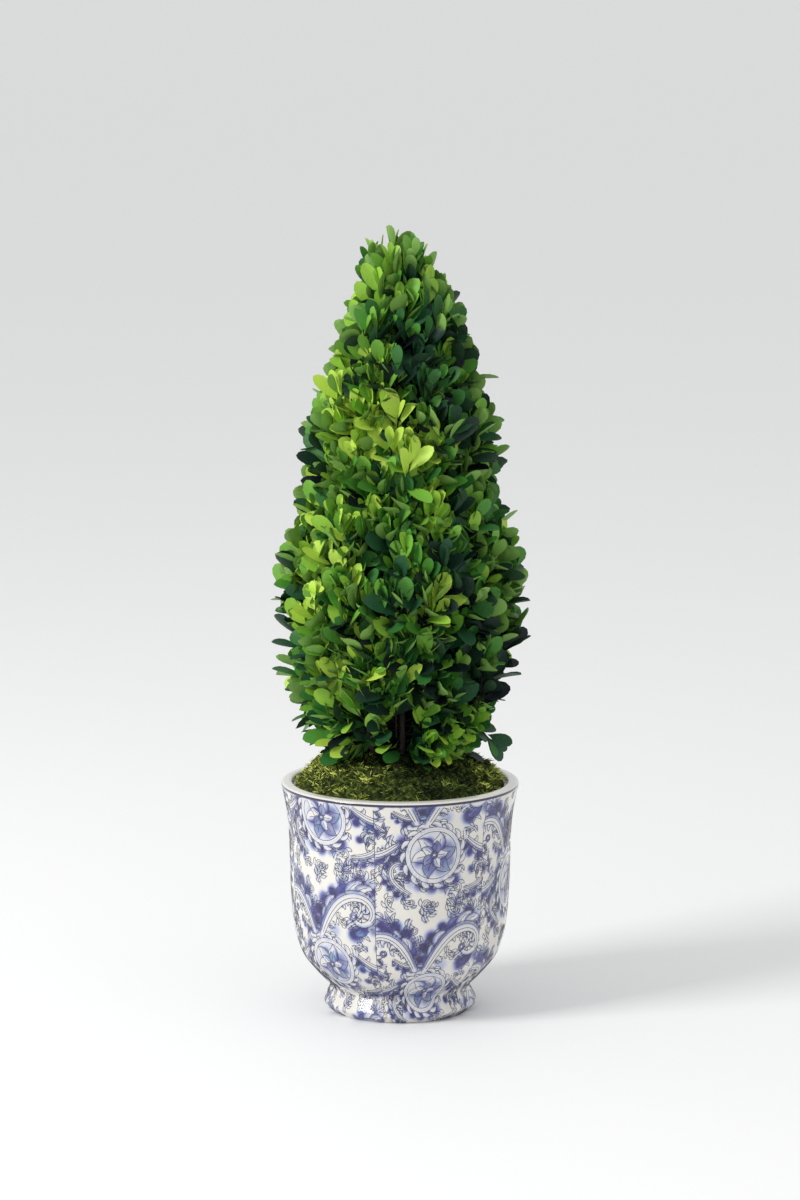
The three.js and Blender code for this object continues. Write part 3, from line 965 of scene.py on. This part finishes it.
class PlanterSettings(bpy.types.PropertyGroup):
    """Sizes and colours of the planter's surface."""

    ground: FloatVectorProperty(
        name="Ground", description="Colour of the bare glaze", subtype="COLOR", default=srgb(217, 213, 205)
    )
    pale_blue: FloatVectorProperty(
        name="Pale blue", description="Colour of a thin wash", subtype="COLOR", default=srgb(180, 187, 210)
    )
    blue: FloatVectorProperty(
        name="Blue", description="Colour of a full wash", subtype="COLOR", default=srgb(66, 64, 140)
    )
    deep_blue: FloatVectorProperty(
        name="Deep blue", description="Colour where washes pool", subtype="COLOR", default=srgb(38, 29, 98)
    )
    line_width: FloatProperty(
        name="Line width", description="Width of the drawn outlines", default=0.58 * MM, unit="LENGTH"
    )
    columns: IntProperty(name="Columns", description="Points round the planter", default=440)


class FoliageSettings(bpy.types.PropertyGroup):
    """How densely the crown grows, and its leaves' size."""

    sprigs: IntProperty(name="Sprigs", description="Sprigs at the clipped face", default=1060)
    inner_sprigs: IntProperty(name="Inner sprigs", description="Shaded sprigs inside", default=360)
    leaf_length: FloatProperty(
        name="Leaf length", description="Length of a full-grown leaf", default=25.5 * MM, unit="LENGTH"
    )
    leaf_width: FloatProperty(
        name="Leaf width", description="Width of a full-grown leaf", default=11.4 * MM, unit="LENGTH"
    )
    seed: IntProperty(name="Seed", description="Picks another crown of the same kind", default=7)


class MossSettings(bpy.types.PropertyGroup):
    """The moss in the planter's mouth."""

    fronds: IntProperty(name="Fronds", description="Strands of moss that stand up", default=7600)
    frond_length: FloatProperty(
        name="Frond length", description="Length of a strand", default=3.8 * MM, unit="LENGTH"
    )


class StageSettings(bpy.types.PropertyGroup):
    """Camera, floor and light."""

    distance: FloatProperty(name="Distance", description="From camera to crown", default=3.0, unit="LENGTH")
    elevation: FloatProperty(
        name="Elevation", description="Camera's angle above level", default=np.radians(9.1), subtype="ANGLE"
    )
    aim: FloatProperty(name="Aim", description="Height the camera looks at", default=0.2967, unit="LENGTH")
    view_height: FloatProperty(
        name="View height", description="Height that fills the picture", default=0.8534, unit="LENGTH"
    )


# ---------------------------------------------------------------- operators


class TOPIARY_OT_planter(bpy.types.Operator):
    """Builds the glazed wall of the planter with the blue washes of its scrollwork"""

    bl_idname = "topiary.planter"
    bl_label = "Planter"

    def execute(self, context):
        settings = context.scene.topiary_planter
        columns = settings.columns
        rows = len(PROFILE) - 2
        angle = np.linspace(-np.pi, np.pi, columns, endpoint=False)
        ring = PROFILE[1:-1]
        wall = polar(angle[None], ring[:, :1], ring[:, 1:])
        middles = np.outer([PROFILE[0, 1], PROFILE[-1, 1]], UP)
        points = np.concatenate([wall.reshape(-1, 3), middles])

        glaze = make_finish("Glazed planter", settings.ground, 0.2, (60, 0.12), coat=0.7)
        tree = glaze.node_tree
        paint = tree.nodes.new("ShaderNodeAttribute")
        paint.attribute_name = "paint"
        tree.links.new(paint.outputs["Color"], tree.nodes["Principled BSDF"].inputs["Base Color"])
        piece = make_piece("planter_glaze", points, ring_faces(rows, columns), [glaze], ["planter"])
        colour = self.paint(settings, wall, angle).reshape(-1, 3)
        colour = np.concatenate([colour, np.tile(settings.ground, (2, 1))])
        rgba = np.concatenate([colour, np.ones((len(colour), 1))], 1).astype(np.float32)
        piece.data.attributes.new("paint", "FLOAT_COLOR", "POINT").data.foreach_set("color", rgba.ravel())
        self.unwrap(piece.data, rows, columns)
        return {"FINISHED"}

    def paint(self, settings, wall, angle):
        """The colour of each point of the wall. The scrollwork's amount of blue, a little uneven, is looked
        up between the tints, and some of the blues turn cooler. A dark line runs round the lip."""
        height = wall[:, :1, 2]
        outside = slice(WALL_FIRST - 1, WALL_LAST)
        place = np.stack(np.broadcast_arrays(angle[None] * BAND_RADIUS, WALL_LENGTH[:, None]), -1)
        amount = np.zeros(wall.shape[:-1])
        amount[outside] = read_sheet(paint_sheet(SHAPES), place)
        spread = waves(wall, 9, 3)
        amount = amount * (0.95 + 0.14 * spread) + 0.03 * smooth_step(spread, 0.4, 1.6)
        low, high = LIP_LINE
        line = smooth_step(height, low - 0.1, low + 0.1) * (1 - smooth_step(height, high - 0.1, high + 0.1))
        line = line * (PROFILE[1:-1, :1] > BAND_RADIUS + 1)
        amount = np.maximum(np.minimum(amount, 1.1), line * 1.4)
        stops = np.array([0, 0.25, 0.55, 0.85, 1.1, 1.4])
        pale, blue, deep = map(np.array, (settings.pale_blue, settings.blue, settings.deep_blue))
        tints = np.array([settings.ground, pale, (pale + blue) / 2.2, blue, deep, deep / 3])
        colour = np.stack([np.interp(amount, stops, tints[:, i]) for i in range(3)], -1)
        cool = smooth_step(waves(wall, 13, 5), 0.1, 1.2) * smooth_step(amount, 0.3, 0.7) * (1 - line)
        return colour * (1 + cool[..., None] * np.array([-0.2, 0.28, 0.1]))

    def unwrap(self, mesh, rows, columns):
        """A flat layout of the colours: u runs once round, from the back, and v along the outline,
        with most of the room for the outside wall."""
        step = np.linalg.norm(np.diff(PROFILE, axis=0), axis=1)
        weight = np.full(len(step), 0.12)
        weight[WALL_FIRST:WALL_LAST] = 1
        v = np.concatenate([[0], np.cumsum(step * weight)])
        v = 0.002 + 0.996 * v / v[-1]
        j = np.arange(columns)
        i = np.arange(rows - 1)[:, None]

        def corners(around, up):
            """(u, v) of every face's corners: how many columns round each is, and its v."""
            u = np.stack(around, -1) / columns
            return np.stack(np.broadcast_arrays(u, up), -1).reshape(-1, 2)

        walls = corners([j, j + 1, j + 1, j], v[np.stack([i + 1, i + 1, i + 2, i + 2], -1)])
        low = corners([j + 0.5, j + 1, j], v[[0, 1, 1]])
        high = corners([j + 0.5, j, j + 1], v[[-1, -2, -2]])
        flat = np.concatenate([walls, low, high])
        mesh.uv_layers.new(name="OFBake").data.foreach_set("uv", flat.astype(np.float32).ravel())


class TOPIARY_OT_linework(bpy.types.Operator):
    """Draws the fine ink outlines of the scrollwork, as thin ridged strips that stand on the glaze"""

    bl_idname = "topiary.linework"
    bl_label = "Linework"

    def execute(self, context):
        half = context.scene.topiary_planter.line_width / MM / 2
        a, b = lay_lines(*sheet_lines(SHAPES))
        along = unit(b - a)
        normal = np.stack([-along[:, 1], along[:, 0]], -1)
        a, b = a - along * 0.1, b + along * 0.1
        sides = ((-half, -0.05), (0, 0.16), (half, -0.05))
        points = np.stack([on_wall(end + normal * out, lift) for end in (a, b) for out, lift in sides], 1)
        quads = copies(np.array([[0, 3, 4, 1], [1, 4, 5, 2]]), len(a), 6)
        ink = make_finish("Ink line", srgb(34, 30, 50), 0.25, (300, 0.05), coat=0.6)
        make_piece("planter_linework", points.reshape(-1, 3), [quads], [ink])
        return {"FINISHED"}


class TOPIARY_OT_stem(bpy.types.Operator):
    """Builds the bark of the stem and of the boughs that run up into the crown"""

    bl_idname = "topiary.stem"
    bl_label = "Stem and boughs"

    def execute(self, context):
        low, high = STEM_BOX[0][2], STEM_BOX[1][2]
        share = np.linspace(0, 1, 150) ** 1.4
        lean = unit(np.array([2.0, 1.0, 0.0]))
        path = np.outer(low + share * (high - low), UP) + np.outer(2 * np.sin(share * np.pi), lean)
        radius = 7.5 + (1.4 - 7.5) * share + 6 * np.exp(-share * (high - low) / 9)
        self.limb("stem", path, radius, 28, 0.165, 11)

        for number, angle in enumerate(BOUGH_ANGLES, 1):
            stations = [
                polar(angle, 12.6, low + 4.5),
                polar(angle, 26, moss_height(26) + 4.7),
                polar(angle, 38, moss_height(38) + 6.7),
                polar(angle, 45, moss_height(47) + 0.4 * (BOUGH_TOP - moss_height(47))),
                polar(angle, 47, BOUGH_TOP),
            ]
            path = catmull_rom(stations, 40)
            self.limb(f"bough_{number}", path, np.linspace(2.7, 1.7, 40), 14, 0.21, 20 + number)
        return {"FINISHED"}

    def limb(self, node, path, radius, sides, depth, seed):
        """A round limb in place of a CAD node. For its furrows each point is shifted along (1, 1, 1), by
        depth times noise that is stretched along Z."""
        points, quads, ends = tubes(path[None], radius[None], sides)
        points += waves(points * np.array([1, 1, 0.22]), 3.4, seed)[:, None] * depth
        make_piece(f"{node}_bark", points, [quads, ends], [bark_material()], [node])


BRANCHES = 56


class TOPIARY_OT_foliage(bpy.types.Operator):
    """Grows the crown: branches from the stem, twigs to the clipped face, and leaves in opposite pairs"""

    bl_idname = "topiary.foliage"
    bl_label = "Foliage"

    def execute(self, context):
        settings = context.scene.topiary_foliage
        length, width = settings.leaf_length / MM, settings.leaf_width / MM
        seed = settings.seed
        outer = grow_sprigs(settings.sprigs, 1.0, seed)
        stray = stray_sprig()
        inner = grow_sprigs(settings.inner_sprigs, 0.7, seed + 1, low=205, high=CROWN_TOP - 80)
        groups = [
            grow_leaves(outer, 5, length, width, seed + 2),
            # The inner sprigs are 4.4 steps darker, painted shade inside the crown.
            grow_leaves(inner, 4, length * 1.05, width * 1.1, seed + 3, shade_shift=4.4),
            grow_leaves(stray, 2, length * 0.8, width * 0.8, seed + 4, shade_shift=0.4),
        ]
        leaves = join(groups)
        leaves = pick(leaves, clear_of_planter(leaves))
        nodes = sorted(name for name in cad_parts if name.startswith("foliage_"))
        materials = [leaf_material(*named) for named in LEAF_COLOURS]
        floor = 0
        for tier, top in TIERS.items():
            part = pick(leaves, (leaves["height"] >= floor) & (leaves["height"] < top))
            stands_for = [name for name in nodes if name.startswith(f"foliage_{tier}")]
            self.make_leaves(f"leaves_{tier}", part, materials, stands_for)
            floor = top
        self.make_twigs(join([outer, stray]), inner, seed + 9)
        return {"FINISHED"}

    def make_leaves(self, name, leaves, materials, nodes):
        """One joined piece of leaves."""
        keys = ("base", "along", "face", "length", "width", "fold", "bend")
        points = leaf_points(*(leaves[key] for key in keys))
        faces = [copies(part, len(points), LEAF_POINTS) for part in (LEAF_QUADS, LEAF_TRIANGLES)]
        tone = leaves["tone"]
        # Undersides of the darker leaves take the shaded underside colour, painted shade.
        under = np.where(tone > 4, DARKEST + 2, DARKEST + 1)
        sides = np.stack([tone, under], -1)
        runs = [np.repeat(sides, len(part) // 2, axis=1).ravel() for part in (LEAF_QUADS, LEAF_TRIANGLES)]
        colours = np.concatenate(runs)

        def creased(a, b):
            """True for the edges of a leaf's outline."""
            return LEAF_EDGES[a % LEAF_POINTS, b % LEAF_POINTS]

        make_piece(name, points.reshape(-1, 3), faces, materials, nodes, colours, creased)

    def make_twigs(self, outer, inner, seed):
        """Branches leave the stem by the golden angle and climb outwards; each sprig's twig starts from the
        nearest branch point below it and runs on through the sprig to its tip."""
        rng = np.random.default_rng(seed)
        start = np.linspace(196, 462, BRANCHES)
        angle = np.arange(BRANCHES)[:, None] * GOLDEN_ANGLE
        rise = rng.uniform(24, 40, BRANCHES)
        reach = crown_radius(start + rise) * rng.uniform(0.5, 0.62, BRANCHES)
        u = np.linspace(0, 1, 9)
        radius = np.outer(reach, u**0.9)
        branches = polar(angle, radius, start[:, None] + np.outer(rise, u**1.5))
        pieces = [tubes(branches, 1.5 - 0.8 * u + 0 * radius, 6)]
        sources = np.concatenate([branches[:, 2:].reshape(-1, 3), [[0, 0, z] for z in range(440, 476, 4)]])
        for sprigs in (outer, inner):
            root = sprigs["root"]
            gap = np.linalg.norm(root[:, None] - sources, axis=-1)
            gap += 3 * np.maximum(0, sources[:, 2] - root[:, 2:])
            near = sources[gap.argmin(1)]
            middle = near * 0.5 + root * 0.5 + UP * -2
            stations = (sprigs[place][:, None] for place in ("root", "bend", "tip"))
            axis = bezier(*stations, np.linspace(0, 1, 4)[None, :, None])
            path = np.concatenate([near[:, None], middle[:, None], axis], axis=1)
            radii = np.tile([0.85, 0.8, 0.75, 0.65, 0.5, 0.3], (len(root), 1))
            pieces.append(tubes(path, radii, 4))
        shift = np.cumsum([0] + [len(points) for points, _, _ in pieces[:-1]])
        faces = [np.concatenate([piece[kind] + s for piece, s in zip(pieces, shift)]) for kind in (1, 2)]
        make_piece("twigs", np.concatenate([piece[0] for piece in pieces]), faces, [bark_material()])


class TOPIARY_OT_moss(bpy.types.Operator):
    """Builds the moss: an uneven mound, covered with short curved strands"""

    bl_idname = "topiary.moss"
    bl_label = "Moss"

    def execute(self, context):
        settings = context.scene.topiary_moss
        rows, columns = 47, 150
        radius = MOSS_RADIUS * np.linspace(0.02, 1, rows - 1) ** 0.8
        angle = np.linspace(0, TAU, columns, endpoint=False)
        mound = polar(angle[None], radius[:, None], 0 * radius[:, None])
        mound[..., 2] = moss_surface(mound)[0] - 1.6
        base = MOSS_BOX[0][2]
        skirt = polar(angle, MOSS_RADIUS, base + 0 * angle)
        points = np.concatenate([mound.reshape(-1, 3), skirt, [[0, 0, mound[0, :, 2].mean()], [0, 0, base]]])
        quads, ends = (faces[:, ::-1] for faces in ring_faces(rows, columns))
        ends = np.roll(ends, 1, axis=1)
        stops = [(0.32, (14, 20, 10)), (0.5, (44, 54, 22)), (0.68, (96, 110, 42))]
        material = make_finish("Moss mat", srgb(46, 62, 22), 0.95, (330, 1.6), specular=0.1, stops=stops)
        make_piece("moss_mat", points, [quads, ends], [material], ["moss_bed"])
        self.make_fronds(settings.fronds, settings.frond_length / MM)
        return {"FINISHED"}

    def make_fronds(self, count, length):
        """Strands in tufts: each is a three-sided taper along a curve that leans over as it rises."""
        rng = np.random.default_rng(33)
        tufts = count // 9
        tuft = rng.integers(0, tufts, count)
        tuft_angle = rng.uniform(0, TAU, tufts)
        tuft_radius = (MOSS_RADIUS - 1.5) * np.sqrt(rng.uniform(0.14, 1, tufts))
        centre = polar(tuft_angle, tuft_radius, 0 * tuft_angle)[tuft]
        foot = centre + rng.normal(0, 1.5, (count, 3)) * np.array([1, 1, 0])
        foot *= np.minimum(1, (MOSS_RADIUS - 0.6) / np.hypot(foot[:, 0], foot[:, 1]))[:, None]
        radius = np.hypot(foot[:, 0], foot[:, 1])
        surface, lumps = moss_surface(foot)
        foot[:, 2] = surface - 2.4
        size = length * rng.uniform(0.5, 1.25, count)
        lean = unit(rng.normal(0, 1, (count, 3)) * [1, 1, 0.2])
        first = unit(UP * 0.7 + 0.8 * lean + 0.35 * unit(centre + 1e-6) * [1, 1, 0])
        u = np.linspace(0, 1, 4)[None, :, None]
        rise = first[:, None] * u * 0.62 + (lean[:, None] * 0.75 + UP * 0.1) * u**2 * 0.7
        path = foot[:, None] + rise * size[:, None, None]
        radii = size[:, None] * np.array([0.07, 0.1, 0.075, 0.02])
        points, quads, ends = tubes(path, radii, 3)
        # Five greens from light to dark. A strand's green mixes its own random tone with painted shade.
        colours = [(214, 220, 116), (170, 182, 80), (106, 124, 54), (50, 62, 32), (18, 27, 18)]
        materials = [
            make_finish(f"Moss strand {number}", srgb(*colour), 0.9, (900, 0.3), specular=0.15)
            for number, colour in enumerate(colours, 1)
        ]
        # Random tone, lighter on the lumps' tops and darker between them, and painted shade towards the
        # middle, under the crown.
        tone_and_shade = waves(foot, 30, 8) * 1.1 - 0.5 * lumps + rng.normal(0, 0.6, count)
        tone_and_shade += 4 * (1 - radius / MOSS_RADIUS)
        # Painted shadow of the crown, on the moss right of the middle.
        shade = 3.8 * np.exp(-(((foot[:, 0] / MOSS_RADIUS - 0.34) / 0.4) ** 2))
        kind = np.clip(np.round(0.35 + tone_and_shade + shade), 0, 4).astype(int)
        face_material = np.concatenate([np.repeat(kind, 9), np.repeat(kind, 6)])
        make_piece("moss_strands", points, [quads, ends], materials, (), face_material)


class TOPIARY_OT_filling(bpy.types.Operator):
    """Gives the hidden filling its dark, crumbly finish"""

    bl_idname = "topiary.filling"
    bl_label = "Filling"

    def execute(self, context):
        stops = [(0.35, (30, 22, 16)), (0.65, (82, 64, 46))]
        crumbs = make_finish("Potting fill", srgb(52, 40, 30), 1.0, (240, 2.0), specular=0.1, stops=stops)
        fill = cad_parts["potting_fill"]
        fill.data.materials.clear()
        fill.data.materials.append(crumbs)
        return {"FINISHED"}


CROWN_MIDDLE = Vector((0, 0, 0.32))
FLOOR_REACH = 70


class TOPIARY_OT_stage(bpy.types.Operator):
    """Sets the pale floor, the soft studio light and the camera"""

    bl_idname = "topiary.stage"
    bl_label = "Stage"

    def execute(self, context):
        scene = context.scene
        settings = scene.topiary_stage
        mesh = bpy.data.meshes.new("floor")
        corners = [(x * FLOOR_REACH, y * FLOOR_REACH, 0) for x, y in ((-1, -1), (1, -1), (1, 1), (-1, 1))]
        mesh.from_pydata(corners, [], [(0, 1, 2, 3)])
        mesh.materials.append(make_finish("Pale floor", (0.88, 0.88, 0.87), 0.6, specular=0.2))
        floor = bpy.data.objects.new("floor", mesh)
        scene.collection.objects.link(floor)

        world = bpy.data.worlds.new("Studio")
        world.use_nodes = True
        background = world.node_tree.nodes["Background"]
        background.inputs["Color"].default_value = (0.98, 0.99, 1, 1)
        background.inputs["Strength"].default_value = 0.8
        scene.world = world
        scene.view_settings.view_transform = "Standard"
        self.add_light("Key", (-2.1, -1.2, 1.7), 0.9, 54)
        self.add_light("Fill", (1.9, -1.2, 0.9), 1.6, 2)

        camera = bpy.data.cameras.new("Camera")
        camera.lens = camera.sensor_width * settings.distance / settings.view_height
        camera.clip_end = 200
        view = bpy.data.objects.new("Camera", camera)
        scene.collection.objects.link(view)
        level = settings.distance * np.cos(settings.elevation)
        view.location = (0, -level, settings.aim + settings.distance * np.sin(settings.elevation))
        view.rotation_euler = (np.pi / 2 - settings.elevation, 0, 0)
        scene.camera = view
        return {"FINISHED"}

    def add_light(self, name, place, size, power):
        """A square area light that faces the crown."""
        lamp = bpy.data.lights.new(name, "AREA")
        lamp.size = size
        lamp.energy = power
        holder = bpy.data.objects.new(name, lamp)
        holder.location = place
        holder.rotation_euler = (CROWN_MIDDLE - Vector(place)).to_track_quat("-Z", "Y").to_euler()
        bpy.context.scene.collection.objects.link(holder)


class TOPIARY_PT_panel(bpy.types.Panel):
    """Lists the topiary's pieces and their settings"""

    bl_idname = "TOPIARY_PT_panel"
    bl_label = "Cone topiary"
    bl_space_type = "VIEW_3D"
    bl_region_type = "UI"
    bl_category = "Topiary"

    def draw(self, context):
        layout = self.layout
        for title, settings, operators in GROUPS:
            box = layout.box()
            box.label(text=title)
            values = getattr(context.scene, settings)
            for name in values.__annotations__:
                box.prop(values, name)
            for operator in operators:
                box.operator(operator.bl_idname)


GROUPS = [
    ("Planter", "topiary_planter", [TOPIARY_OT_planter, TOPIARY_OT_linework]),
    ("Moss and filling", "topiary_moss", [TOPIARY_OT_moss, TOPIARY_OT_filling]),
    ("Foliage", "topiary_foliage", [TOPIARY_OT_stem, TOPIARY_OT_foliage]),
    ("Stage", "topiary_stage", [TOPIARY_OT_stage]),
]

SETTINGS = {
    "topiary_planter": PlanterSettings,
    "topiary_foliage": FoliageSettings,
    "topiary_moss": MossSettings,
    "topiary_stage": StageSettings,
}

OPERATORS = [operator for group in GROUPS for operator in group[2]]


def register():
    for name, settings in SETTINGS.items():
        bpy.utils.register_class(settings)
        setattr(bpy.types.Scene, name, PointerProperty(type=settings))
    for cls in (*OPERATORS, TOPIARY_PT_panel):
        bpy.utils.register_class(cls)


def unregister():
    for cls in (TOPIARY_PT_panel, *reversed(OPERATORS)):
        bpy.utils.unregister_class(cls)
    for name, settings in SETTINGS.items():
        delattr(bpy.types.Scene, name)
        bpy.utils.unregister_class(settings)


def main():
    register()
    bpy.ops.topiary.stage()
    bpy.ops.topiary.planter()
    bpy.ops.topiary.linework()
    bpy.ops.topiary.moss()
    bpy.ops.topiary.filling()
    bpy.ops.topiary.stem()
    bpy.ops.topiary.foliage()


if __name__ == "__main__":
    main()
